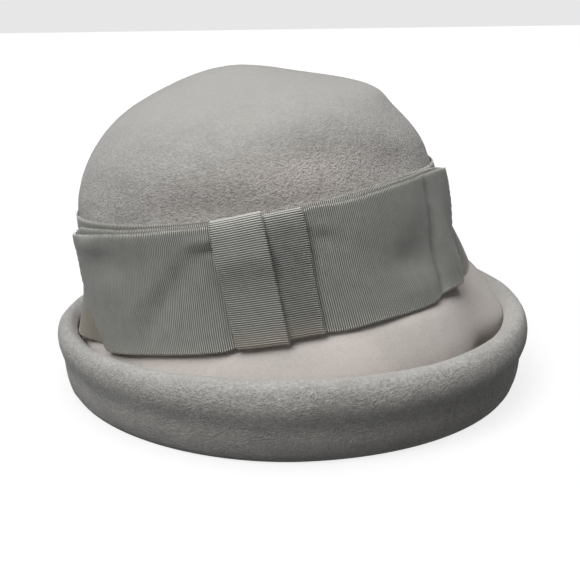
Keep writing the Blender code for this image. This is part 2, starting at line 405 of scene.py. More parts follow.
def outlinePoint(angle):
    # the brim in plan: a superellipse with a reach and a roundness of its own on each half
    cosine, sine = np.cos(angle), np.sin(angle)
    reach = np.where(cosine < 0.0, brim["middle"] - feltLow[0], feltHigh[0] - brim["middle"])
    power = np.where(cosine < 0.0, brim["backRoundness"], brim["frontRoundness"])
    radius = (np.abs(cosine) ** power + np.abs(sine) ** power) ** (-1.0 / power)
    return np.stack([brim["middle"] + reach * radius * cosine, feltHigh[1] * radius * sine], axis=-1)


def inward(angle):
    # unit vector square to the brim's outline, towards the hat's middle
    along = outlinePoint(angle + 0.01) - outlinePoint(angle - 0.01)
    return unit(np.stack([-along[..., 1], along[..., 0]], axis=-1))


def brimRing(angle, inset, height):
    # a ring of the brim: inset from the outline, narrower towards the back and the front, at one height
    loss = np.where(np.cos(angle) < 0.0, brim["narrowerBack"], brim["narrowerFront"])
    inset = inset * (1.0 - loss * np.cos(angle) ** 2)
    plan = outlinePoint(angle) + inward(angle) * inset[..., None]
    return np.concatenate([plan, np.broadcast_to(height, angle.shape)[..., None]], axis=-1)


# Node groups that more than one material uses

fibreLook = {
    "stretch": (0.92, 0.92, 1.15),     # the flecks are drawn out a little round the hat
    "flecks": (1.0, 0.6),              # detail and roughness of their noise
    # the other noises: fineness against the flecks', detail, roughness
    "clumps": (0.5, 2.0, 0.7),
    "dust": (2.3, 1.0, 0.6),
    "mottle": (0.09, 4.0, 0.62),
    "shares": (0.35, 0.35, 0.3),       # of flecks, clumps and dust in the grain
    "fibreRange": (0.49, 0.61),        # the grain's high parts are fibres, from faint to full
    "pitRange": (0.51, 0.39),          # and its low parts are pits
    "mottleRange": (0.32, 0.68),
}

weaveLook = {
    "thread": 0.34,                    # from thread to thread along a rib
    "roundness": 0.7,                  # of the ribs: 1 is a plain wave, less is fuller
    "threadRise": 0.12,                # the threads' relief against the ribs'
    "stretch": (1.0, 0.06, 1.0),       # streaks run long across the ribbon, along each rib
    "streaks": (0.9, 3.0, 0.6),        # fineness, detail, roughness
    "streakRange": (0.3, 0.7),
}


def newGroup(name, vector, numbers, outputs):
    # an empty shader group: a vector and some numbers go in, numbers come out
    group = bpy.data.node_groups.new(name, "ShaderNodeTree")
    group.interface.new_socket(name=vector, in_out="INPUT", socket_type="NodeSocketVector")
    for title, value in numbers.items():
        socket = group.interface.new_socket(name=title, in_out="INPUT", socket_type="NodeSocketFloat")
        socket.default_value = value
    for title in outputs:
        group.interface.new_socket(name=title, in_out="OUTPUT", socket_type="NodeSocketFloat")
    return group, group.nodes.new("NodeGroupInput").outputs, group.nodes.new("NodeGroupOutput")


def makeFibreGroup():
    # matted fibres: pale flecks lying every way, dark pits between them, over a soft mottle
    outputs = ("Fibres", "Pits", "Mottle", "Height")
    group, given, end = newGroup("mattedFibres", "Vector", {"Fineness": 900.0}, outputs)
    place, fine = given["Vector"], given["Fineness"]
    lie = addNode(group, "Mapping", {"Vector": place, "Scale": fibreLook["stretch"]}).outputs[0]
    flecks = addNoise(group, lie, fine, *fibreLook["flecks"])
    clumps, dust, mottle = (
        addNoise(group, place, product(group, fine, fibreLook[name][0]), *fibreLook[name][1:])
        for name in ("clumps", "dust", "mottle"))
    fleckShare, clumpShare, dustShare = fibreLook["shares"]
    grain = addMath(group, "MULTIPLY_ADD", flecks, fleckShare, product(group, clumps, clumpShare))
    grain = addMath(group, "MULTIPLY_ADD", dust, dustShare, grain)
    setInputs(group, end, {"Fibres": addRange(group, grain, *fibreLook["fibreRange"]),
                           "Pits": addRange(group, grain, *fibreLook["pitRange"]),
                           "Mottle": addRange(group, mottle, *fibreLook["mottleRange"]),
                           "Height": grain})
    return group


def makeWeaveGroup():
    # grosgrain: round ribs across the ribbon, each bound by fine threads that change sides rib by rib
    numbers = {"Pitch": 1.0, "Thread": weaveLook["thread"]}
    outputs = ("Ridge", "Threads", "Height", "Streaks")
    group, given, end = newGroup("grosgrainWeave", "Weave", numbers, outputs)
    parts = addNode(group, "SeparateXYZ", {0: given["Weave"]}).outputs
    ribs = addMath(group, "DIVIDE", parts["X"], given["Pitch"])
    wave = addMath(group, "COSINE", product(group, ribs, 2.0 * math.pi))
    ridge = addMath(group, "POWER", addMath(group, "MULTIPLY_ADD", wave, -0.5, 0.5), weaveLook["roundness"])
    half = product(group, addMath(group, "FLOOR", ribs), 0.5)
    turns = addMath(group, "ADD", addMath(group, "DIVIDE", parts["Y"], given["Thread"]), half)
    bound = addMath(group, "COSINE", product(group, turns, 2.0 * math.pi))
    threads = addMath(group, "MULTIPLY_ADD", bound, 0.5, 0.5)
    height = addMath(group, "ADD", ridge, product(group, threads, ridge, weaveLook["threadRise"]))
    drawn = addNode(group, "Mapping", {"Vector": given["Weave"], "Scale": weaveLook["stretch"]}).outputs[0]
    streaks = addRange(group, addNoise(group, drawn, *weaveLook["streaks"]), *weaveLook["streakRange"])
    setInputs(group, end, {"Ridge": ridge, "Threads": threads, "Height": height, "Streaks": streaks})
    return group


fibreGroup = makeFibreGroup()
weaveGroup = makeWeaveGroup()


# The felt body

felt = {
    "thickness": 2.5,
    "columns": 288,
    "rows": 160,
    "fineSteps": 1200,                        # used to find rows at even distances
    "edgeSteps": 3,
    "poleRise": 0.02,                         # the point at the top stands this much over its ring
    "sharpen": (0.0, 0.0, 0.45, 0.55, 0.45),  # how far the crown's top rows are drawn out to its corner
    # hollows and swellings: angle and height on the crown, spread round and up, height of the swelling
    "crownShapes": (
        (318.4, 68.6, 9.0, 5.0, -1.2),
        (255.0, 63.0, 14.0, 5.0, -0.9),
        (297.0, 78.0, 22.0, 6.0, -1.0),
        (219.0, 76.0, 16.0, 6.0, -1.1),
        (251.0, 78.0, 14.0, 5.0, 0.3),
        (230.0, 90.0, 20.0, 9.0, -0.4),
        (290.0, 96.0, 24.0, 9.0, 0.4),
        (60.0, 88.0, 24.0, 10.0, -0.7),
        (120.0, 74.0, 20.0, 8.0, 0.5),
        (160.0, 96.0, 22.0, 9.0, -0.5),
        (20.0, 100.0, 20.0, 9.0, 0.4),
        (188.0, 68.0, 12.0, 6.0, 0.6),
    ),
    # dents in the skirt beside the rim: angle, ring, spread in degrees and in rings, height of the swelling.
    # Rings count from the pole: the wall ends at ring 10, the skirt at 12, the flat at 16, the rim at 22.
    "skirtShapes": ((329.0, 12.05, 5.5, 0.34, -6.4), (342.0, 11.35, 5.0, 0.4, 1.3)),
    "unevenness": (34.0, 0.22, 9, 4),         # length, height, number and seed of the waves
    "fineUnevenness": (9.0, 0.05, 12, 8),
    "plainBelow": 4.0,                        # the part on the floor is plain,
    "plainRings": (4.9, 12.5),                # and so is the part under the band
    "rimStart": (16.0, 4.0),                  # ring where the rim begins, and over how many it is reached
    "outside": (15.0, 1.5, 21.5),             # the rim's outer face: start, over how many rings, end
    "rollWave": (0.5, 0.35),                  # how much the rim wanders up and down, and in and out
    "rollRise": ((2, 1.0, 0.7), (3, 0.6, 2.1), (5, 0.5, 4.0)),    # waves round the rim, size, phase
    "rollSwing": ((3, 1.0, 1.2), (4, 0.5, 0.3)),
    # the soft hollow round the outside of the rim: its height and half width, and its depth by angle
    "hollowAt": (15.6, 6.6),
    "hollowAngle": (0.0, 60.0, 120.0, 180.0, 208.0, 235.0, 270.0, 300.0, 330.0, 360.0),
    "hollowDepth": (0.8, 0.4, 0.4, 0.9, 1.5, 1.3, 0.9, 1.2, 1.7, 0.9),
    "swellAt": (26.0, 5.5, 0.6),              # the slight swelling above: height, half width, reach
    "light": (0.530, 0.520, 0.492),
    "dark": (0.445, 0.437, 0.414),
    # paler as well as pinker: a pinkish tint with painted light in it
    "blushAndPaintedLight": (0.745, 0.672, 0.634),
    "fibre": (0.74, 0.73, 0.70),
    "speck": (0.30, 0.29, 0.27),
    "blushAndLightWall": (67.0, 16.0, 0.30, 0.68),    # a pinkish tint on the wall with painted light in it: height, half width, strength, and more
    "blushAndLightAngle": (277.0, 34.0),                    # about this angle, over this spread
    "brimFrom": (18.0, 12.0),                 # the brim is what lies under this height, over this much
    "blushAndLightTop": (0.955, 0.10, 0.86),          # a pinkish tint with painted light on top of the brim: share of the way out where it ends, over how much, strength
    "smoothTop": (0.99, 0.07, 0.75),          # the same for the smooth nap on top of the brim, which also takes off some painted light there
    "napAndLightFades": (112.0, 40.0, 0.15),          # height where the nap lies down and the painted light ends, over how much, its least
    "surface": (0.95, 0.25, 0.6, 0.1),        # roughness, sheen, the sheen's roughness, specular level
    "fineness": 1000.0,
    "broad": (30.0, 3.0, 0.55),               # the broad patches' fineness, detail and roughness
    "broadRange": (0.35, 0.65),
    "shade": (0.4, 0.1),                      # how light: by the nap mask, which paints the felt lighter low down and darker on top as painted light, and everywhere
    "blushAndLightMix": (0.30, 0.70),                     # the share of the pinkish tint and its painted light that is patchy, and the rest
    "fibres": 0.50,                           # how strongly the fibres and the pits show
    "pits": 0.52,
    "napDepth": 0.0012,                       # depth of the nap's relief, in metres
}


def feltRows(angle):
    # the middle of the felt as control rings: down the crown, out along the brim, flat on the floor,
    # then up and over the rim, whose section is a superellipse that leans outwards
    half = felt["thickness"] / 2.0
    degrees = np.degrees(angle) % 360.0
    ledge, reach = curvesIn(brim, degrees, "ledgeAngle", "ledgeHeight", "ledgeReach")
    above, drawn, below = brim["ledgeTurn"]
    wall = [crownPoint(angle, height, -half) for height in crown["height"][:0:-1]]
    wall += [crownPoint(angle, ledge + above, drawn - half), crownPoint(angle, ledge + below, reach - half)]
    flat = [brimRing(angle, brim["rollWidth"] * share, half) for share in brim["flatInsets"]]
    outward = np.concatenate([-inward(angle), np.full(angle.shape + (1,), brim["skirtLift"])], axis=-1)
    bulge = np.full(angle.shape + (1,), brim["skirtBulge"])
    for middle, spread, more in brim["fuller"]:
        away = (degrees - middle + 180.0) % 360.0 - 180.0
        bulge += more * hump(away, 0.0, spread)[..., None]
    skirt = [(1 - t) * flat[0] + t * wall[-1] + 4 * t * (1 - t) * bulge * outward for t in brim["skirtSteps"]]
    lower, power = brim["lowerBack"]
    top = brim["rollHeight"] - lower * np.maximum(-np.cos(angle), 0.0) ** power
    roll = []
    power = 2.0 / brim["rollRoundness"]
    for turn in brim["rollAngles"]:
        cosine, sine = math.cos(math.radians(turn)), math.sin(math.radians(turn))
        across = math.copysign(abs(cosine) ** power, cosine) * (brim["rollWidth"] / 2.0 - half)
        up = math.copysign(abs(sine) ** power, sine)
        height = top / 2.0 + up * (top / 2.0 - half)
        inset = brim["rollWidth"] / 2.0 - across - brim["rollSpread"] / 2.0 * up
        roll.append(brimRing(angle, inset, height))
    pole = leanCrown(np.array([crown["pole"][0], 0.0, crown["pole"][1] - half]))
    pole = np.broadcast_to(pole, wall[0].shape)
    rows = np.array([pole, *wall, *skirt, *flat, *roll])
    for i, amount in enumerate(felt["sharpen"]):       # drawn away from the mean of its two neighbours
        if amount:
            rows[i] = rows[i] + amount * (rows[i] - (rows[i - 1] + rows[i + 1]) / 2.0)
    return rows


def blendRows(rows, at):
    # a smooth surface from control rings: each point is a cubic blend of the four rings about it; over
    # the pole the rings come back on the far side, and past the rim the last step is repeated
    beyondPole = np.roll(rows[1], rows.shape[1] // 2, axis=0)
    rows = np.concatenate([beyondPole[None], rows, (2 * rows[-1] - rows[-2])[None]])
    i = np.minimum(at.astype(int), len(rows) - 4)
    t = (at - i)[:, None, None]
    return (((1 - t) ** 3) * rows[i] + (3 * t ** 3 - 6 * t ** 2 + 4) * rows[i + 1]
            + (-3 * t ** 3 + 3 * t ** 2 + 3 * t + 1) * rows[i + 2] + t ** 3 * rows[i + 3]) / 6.0


def wander(angle, parts):
    # a slow swing round the rim: the sum of these waves, each with its number, size and phase
    return sum(size * np.sin(number * angle + phase) for number, size, phase in parts)


def feltSurface():
    # the middle surface on an even grid, from the pole to the rim's edge, with its unevenness
    angle = np.linspace(0.0, 2.0 * np.pi, felt["columns"], endpoint=False)
    control = feltRows(angle)
    fine = np.linspace(0.0, len(control) - 1.0, felt["fineSteps"])
    lengths = np.linalg.norm(np.diff(blendRows(control, fine), axis=0), axis=-1).mean(axis=1)
    along = np.concatenate([[0.0], np.cumsum(lengths)])
    at = np.interp(np.linspace(0.0, along[-1], felt["rows"] + 1)[1:], along, fine)[:, None]
    grid = blendRows(control, at[:, 0])
    rim = climb(at, *felt["rimStart"])
    upDown, inOut = felt["rollWave"]
    grid[..., 2] += upDown * rim * wander(angle, felt["rollRise"])
    grid[..., :2] += inward(angle)[None] * (inOut * rim * wander(angle, felt["rollSwing"]))[..., None]
    normals = gridNormals(grid)
    level = grid[..., 2]
    first, last = felt["plainRings"]
    plain = (level < felt["plainBelow"]) | ((at > first) & (at < last))
    lift = np.where(plain, 0.0, waves(grid, *felt["unevenness"]) + waves(grid, *felt["fineUnevenness"]))
    depth, = curvesIn(felt, np.degrees(angle), "hollowAngle", "hollowDepth")
    height, halfWidth, reach = felt["swellAt"]
    start, over, end = felt["outside"]
    lift += ((depth * hump(level, *felt["hollowAt"]) - reach * hump(level, height, halfWidth))
             * (climb(at, start, over) * fall(at, end, 1.0)))
    for around, height, spreadRound, spreadUp, swell in felt["crownShapes"]:
        x, y, z = np.moveaxis(grid - crownPoint(math.radians(around), height, 0.0), -1, 0)
        lift += swell * np.exp(-((x ** 2 + y ** 2) / spreadRound ** 2 + z ** 2 / spreadUp ** 2) / 2.0)
    for around, ring, spreadRound, spreadRings, swell in felt["skirtShapes"]:
        away = ((np.degrees(angle) - around) / spreadRound) ** 2 + ((at - ring) / spreadRings) ** 2
        lift += swell * np.exp(-away / 2.0)
    return grid + normals * lift[..., None]


def makeFelt():
    # the middle surface thickened to both sides, with a round edge and a point at the pole on each face
    grid = feltSurface()
    normals = gridNormals(grid)
    half = felt["thickness"] / 2.0
    turn = np.linspace(0.0, np.pi, felt["edgeSteps"] + 2)[1:-1]
    onward = unit(grid[-1] - grid[-2])
    edge = np.array([grid[-1] + half * (normals[-1] * math.cos(a) + onward * math.sin(a)) for a in turn])
    rows = np.concatenate([grid + normals * half, edge, (grid - normals * half)[::-1]])
    axis = unit(leanCrown(np.array([0.0, 0.0, 1.0])) - leanCrown(np.zeros(3)))
    middle = grid[0].mean(axis=0) + axis * felt["poleRise"]
    count, columns = rows.shape[:2]
    points = np.concatenate([rows.reshape(-1, 3), [middle + axis * half, middle - axis * half]])
    ring = np.arange(columns)
    beside = (ring + 1) % columns
    cap = np.stack([ring, beside, np.full(columns, len(points) - 2)], axis=-1)
    last = (count - 1) * columns
    under = np.stack([last + beside, last + ring, np.full(columns, len(points) - 1)], axis=-1)
    faces = gridFaces(count, columns, False, True)[:, ::-1]
    # paler and pinker low on the crown above the band and on top of the brim: a pinkish tint with painted
    # light in it; and the nap mask, where the nap stands up, which also paints the felt lighter low down and
    # darker on top
    local = points - leanCrown(np.zeros(3))
    height = local @ axis
    around = np.degrees(np.arctan2(local[:, 1], local[:, 0])) % 360.0
    reach = np.linalg.norm(points[:, :2] / feltHigh[:2], axis=-1)
    centre, spread, plain, more = felt["blushAndLightWall"]
    # a pinkish tint with painted light in it on the wall, more about one angle
    wall = hump(height, centre, spread) * (plain + more * hump(around, *felt["blushAndLightAngle"]))
    low = fall(height, *felt["brimFrom"])
    topEnd, topFade, topBlushAndLight = felt["blushAndLightTop"]
    smoothEnd, smoothFade, smoothness = felt["smoothTop"]
    blushAndPaintedLight = np.clip(wall + topBlushAndLight * (low * fall(reach, topEnd, topFade)), 0.0, 1.0)
    napAndLightTop, napAndLightFade, napAndLightLeast = felt["napAndLightFades"]
    napAndPaintedLight = np.maximum(fall(height, napAndLightTop, napAndLightFade), napAndLightLeast)
    napAndPaintedLight = napAndPaintedLight * (1.0 - smoothness * (low * fall(reach, smoothEnd, smoothFade)))
    piece = makePiece("feltBody", points, [faces[:, ::-1], cap, under], makeFeltMaterial(),
                      (("blushAndPaintedLight", blushAndPaintedLight), ("napAndPaintedLight", napAndPaintedLight)))
    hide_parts("felt_body")


def makeFeltMaterial():
    # wool matted into felt: a soft mottle of two greys, painted lighter low down and darker on top as painted
    # light, paler loose fibres and small dark pits where the nap stands up, and a pinkish tint with painted
    # light in it, paler and pinker, low on the crown and on the brim
    material, tree, shader = newMaterial("woolFelt", felt["surface"])
    place = objectPlace(tree)
    nap = addGroup(tree, fibreGroup, Vector=place, Fineness=felt["fineness"])
    napAndPaintedLight, blushAndPaintedLight = (addAttribute(tree, name) for name in ("napAndPaintedLight", "blushAndPaintedLight"))
    broad = addRange(tree, addNoise(tree, place, *felt["broad"]), *felt["broadRange"])
    mottle = product(tree, addMath(tree, "SUBTRACT", nap["Mottle"], 0.5), napAndPaintedLight)
    # painted light: the felt is lighter where the nap mask is high, low down, and darker on top
    shade = addMath(tree, "ADD", mottle, addMath(tree, "MULTIPLY_ADD", napAndPaintedLight, *felt["shade"]))
    # the pinkish tint and its painted light, patchy in part
    blushAndLightMix = product(tree, blushAndPaintedLight, addMath(tree, "MULTIPLY_ADD", broad, *felt["blushAndLightMix"]))
    colour = addMix(tree, shade, felt["dark"], felt["light"])
    colour = addMix(tree, blushAndLightMix, colour, felt["blushAndPaintedLight"])
    colour = addMix(tree, product(tree, nap["Fibres"], napAndPaintedLight, felt["fibres"]), colour, felt["fibre"])
    colour = addMix(tree, product(tree, nap["Pits"], napAndPaintedLight, felt["pits"]), colour, felt["speck"])
    setInputs(tree, shader, {"Base Color": colour})
    addBump(tree, shader, product(tree, nap["Height"], napAndPaintedLight), 1.0, felt["napDepth"])
    return material


makeFelt()
print("felt body is made")


# Ribbons: band, bow and strips

ribbon = {
    "thickness": 0.5,
    "pitch": 0.9,              # from rib to rib
    "ribHeight": 0.15,         # half the depth of the grooves
    "samples": 4,              # grid columns for each rib
    "rounding": 3,             # rings round each half of an edge
    "selvedge": 0.018,         # share of the width that the firmer edge takes
    "edgeReach": 0.6,          # the firm edge fades out inwards over this much,
    "edgeRise": 0.5,           # and its ribs stand this much higher
    "pressedFlat": 0.8,        # how much of their height pressed ribs lose
    "surface": (0.62, 0.30, 0.5, 0.3),
    "fineness": 2.2,           # of the mottle, on the ribbon's own lengths
    "threads": (0.12, 0.88),   # shares of the threads and of the ribs in light and shade
    "crisp": (0.45, 0.85),     # the part of a rib's side that counts as its top, for the painted highlight and shade along the firm edges
    "streaks": 0.35,           # how strongly the darker streaks and the paler mottle show
    "mottle": 0.12,
    "streakShade": (0.72, 0.72, 0.72),
    "relief": (0.35, 0.0002),  # strength, and depth in metres
    "light": (0.500, 0.505, 0.468),
    # the painted highlight's colour, on rib tops along the firm edges and on the strips' upper fold
    "edge": (0.82, 0.81, 0.74),
    # the grooves' colour, nearly black: painted shade
    "dark": (0.025, 0.026, 0.023),
    "tan": (0.42, 0.35, 0.27),
}


def ribPlaces(ribs):
    # where a grid's columns stand along a ribbon of so many ribs
    return np.arange(ribs * ribbon["samples"] + 1) * ribbon["pitch"] / ribbon["samples"]


def acrossShares(rows, crowding=1.0):
    # steps from edge to edge, finer towards the upper edge by a power, with one narrow step for the
    # firmer edge on each side
    edge = ribbon["selvedge"]
    inner = 1.0 - np.linspace(1.0, 0.0, rows - 2) ** crowding
    return np.concatenate([[0.0], edge + (1.0 - 2.0 * edge) * inner, [1.0]])


def wrapRibbon(front, back):
    # a ribbon's section from its two faces: up the front, round one edge, down the back, round the other;
    # the grids' rows run from edge to edge, and the loop starts in the middle of an edge
    rounding = ribbon["rounding"]
    turn = np.linspace(0.0, np.pi, 2 * rounding + 2)[1:-1]
    loops = []
    for row, step in ((0, 1), (-1, -1)):
        middle = (front[row] + back[row]) / 2.0
        lift = (front[row] - back[row]) / 2.0
        outward, square = unit(front[row] - front[row + step]), unit(lift)
        outward = unit(outward - square * np.sum(outward * square, -1, keepdims=True))
        reach = np.linalg.norm(lift, axis=-1, keepdims=True)
        loops.append(np.array([middle + lift * math.cos(a) + outward * reach * math.sin(a) for a in turn]))
    start, end = loops
    return np.concatenate([start[:rounding][::-1], front, end, back[::-1], start[rounding:][::-1]])


def wrapValues(front, back):
    # the same loop for values on the ribbon's faces
    edges = [np.repeat(row[None], ribbon["rounding"], 0) for row in (front[0], front[-1], back[-1], back[0])]
    return np.concatenate([edges[0], front, edges[1], edges[2], back[::-1], edges[3]])


def ribSwell(along):
    # the ribs' shape: a wave along the ribbon, with round tops and narrow grooves
    wave = 0.5 - 0.5 * np.cos(2.0 * np.pi * along / ribbon["pitch"])
    return ribbon["ribHeight"] * (2.0 * wave ** weaveLook["roundness"] - 1.0)


def makeRibbonMaterial(name, tone=1.0, warm=0.0, edgeHighlight=1.0):
    # grey grosgrain: light rib tops over grooves painted nearly black, which is painted shade, uneven from
    # rib to rib, crisper along the firm edges with painted highlights on the rib tops there and on the
    # strips' upper fold, with a faint sheen
    material, tree, shader = newMaterial(name, ribbon["surface"])
    place = addAttribute(tree, "weave", "Vector")
    weave = addGroup(tree, weaveGroup, Weave=place, Pitch=ribbon["pitch"])
    fibres = addGroup(tree, fibreGroup, Vector=place, Fineness=ribbon["fineness"])
    threadShare, ribShare = ribbon["threads"]
    ridges = product(tree, weave["Ridge"], ribShare)
    shade = addMath(tree, "MULTIPLY_ADD", weave["Threads"], threadShare, ridges)
    evened = addMath(tree, "SUBTRACT", 0.50, shade)          # pressed ribs are nearer to the middle grey, with weaker painted groove shade
    shade = addMath(tree, "MULTIPLY_ADD", evened, addAttribute(tree, "pressed"), shade)
    # along the firm edges the grooves are painted darker and the rib tops lighter: painted shade and painted
    # highlight
    edge = addAttribute(tree, "selvedge")
    crisp = addRange(tree, weave["Ridge"], *ribbon["crisp"])
    shade = addMath(tree, "ADD", product(tree, edge, addMath(tree, "SUBTRACT", crisp, shade)), shade)
    # painted shade in the grooves, light on the rib tops
    colour = addMix(tree, shade, ribbon["dark"], tuple(value * tone for value in ribbon["light"]))
    streaked = addMix(tree, 1.0, colour, ribbon["streakShade"], "MULTIPLY")
    colour = addMix(tree, product(tree, weave["Streaks"], ribbon["streaks"]), colour, streaked)
    colour = addMix(tree, product(tree, fibres["Mottle"], ribbon["mottle"]), colour, ribbon["light"])
    # painted highlight on the rib tops along the firm edges
    colour = addMix(tree, product(tree, edge, crisp, edgeHighlight), colour, ribbon["edge"])
    if warm:
        # painted highlight on the rib tops of the strips' upper fold
        colour = addMix(tree, product(tree, addAttribute(tree, "faded"), crisp), colour, ribbon["edge"])
        colour = addMix(tree, product(tree, addAttribute(tree, "warm"), warm), colour, ribbon["tan"])
    setInputs(tree, shader, {"Base Color": colour})
    addBump(tree, shader, weave["Height"], *ribbon["relief"])
    return material


def ribbonEdges(grid, normals, closed):
    # the two long edges of a ribbon's grid, each with its way out across the ribbon
    edges = []
    for row, step in ((0, 1), (-1, -1)):
        line, outward, normal = grid[row], grid[row] - grid[row + step], normals[row]
        if closed:
            line, outward, normal = (np.concatenate([v, v[:1]]) for v in (line, outward, normal))
        edges.append((line, unit(outward), normal))
    return edges


def finishRibbon(name, node, slotName, material, middle, at, across, uneven=None, closed=True, column=8,
                 pressed=0.0, **values):
    # the ribbon's two faces with their ribs, its rounded edges, and where each point lies in the weave:
    # at is the way along it and across the way over it, and pressed and the other values go to its looks
    normals = faceOut(gridNormals(middle, closed), middle, column)
    if uneven:
        middle = middle + normals * waves(middle, *uneven)[..., None]
    half = ribbon["thickness"] / 2.0
    at, across, pressed = (np.broadcast_to(v, middle.shape[:2]) for v in (at, across[:, None], pressed))
    edge = np.exp(-np.minimum(across, np.max(across) - across) / ribbon["edgeReach"])
    rise = (ribSwell(at) * (1.0 + ribbon["edgeRise"] * edge)) * (1.0 - ribbon["pressedFlat"] * pressed)
    loop = wrapRibbon(middle + normals * (half + rise)[..., None], middle - normals * half)
    weave, weaveBack = (np.stack([at, across, np.full_like(at, side)], axis=-1) for side in (0.0, 1.0))
    rows, columns = loop.shape[:2]
    faces = [gridFaces(rows, columns, True, closed)]
    if not closed:
        i = np.arange(rows // 2 - 1)
        cap = np.stack([i, rows - 1 - i, rows - 2 - i, i + 1], axis=-1) * columns
        faces += [cap[:, ::-1], cap + columns - 1]
    attributes = [("weave", wrapValues(weave, weaveBack).reshape(-1, 3))]
    for title, value in (("selvedge", edge), ("pressed", pressed), *values.items()):
        value = np.broadcast_to(value, at.shape)
        attributes.append((title, wrapValues(value, value).reshape(-1)))
    piece = makePiece(name, loop.reshape(-1, 3), faces, material, attributes)
    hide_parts(node)
    return piece, ribbonEdges(middle, normals, closed)


# The hatband: once round the crown, its seam under the bow's knot

band = {
    "offset": 0.80,            # middle of the ribbon, out from the felt
    "edgeAngle": (0.0, 60.0, 120.0, 165.0, 190.0, 215.0, 235.0, 256.0, 281.0, 300.0, 320.0, 335.0, 360.0),
    "lowEdge": (10.6, 10.2, 10.2, 9.4, 6.6, 6.2, 9.8, 11.6, 12.4, 12.6, 11.4, 10.2, 10.6),
    "highEdge": (59.4, 60.2, 61.0, 61.8, 62.2, 62.0, 61.3, 61.0, 60.9, 61.4, 61.6, 60.2, 59.4),
    # where the lower edge flares out: angle and spread, reach, from which height down, over how much, and
    # the power that it grows by
    "flare": (194.0, 11.0, 6.4, 25.0, 19.0, 1.4),
    "warm": (26.0, 14.0),      # warmer below this height, over this much
    "look": (0.80, 0.40, 0.6), # tone, darker than the bow's as painted shade, warmth, strength of the painted highlight on the edges
    "rows": 14,
    "fineSteps": 2401,
    "unevenness": (40.0, 0.05, 6, 21),
    "seam": 268.0,
    "flat": (0.051, 0.557),
}


def makeBand():
    # rings between the band's two edges, whose heights change a little round the crown
    around = np.linspace(0.0, 360.0, band["fineSteps"]) + band["seam"]
    low, high = curvesIn(band, around % 360.0, "edgeAngle", "lowEdge", "highEdge")
    along = lengthsAlong(crownPoint(np.radians(around), (low + high) / 2.0, band["offset"]))
    ribs = round(along[-1] / ribbon["pitch"])
    at = ribPlaces(ribs)[:-1]
    evenly = at * along[-1] / (ribs * ribbon["pitch"])         # so that the ring closes
    low, high, around = (np.interp(evenly, along, values) for values in (low, high, around))
    share = acrossShares(band["rows"])[:, None]
    height = low + (high - low) * share
    centre, spread, reach, start, under, power = band["flare"]
    flare = reach * hump(around % 360.0, centre, spread) * fall(height, start, under) ** power
    middle = crownPoint(np.radians(around)[None], height, band["offset"] + flare)
    material = makeRibbonMaterial("bandGrosgrain", *band["look"])
    return finishRibbon("hatBand", "hatband", "band_grosgrain", material, middle, at,
                        share[:, 0] * band["flat"][0] / mm, band["unevenness"],
                        warm=fall(height, *band["warm"]))


bandPiece, bandEdges = makeBand()
print("hatband is woven")


# The bow: one flat loop of ribbon laid on the band, drawn in at the knot and standing open at its ends

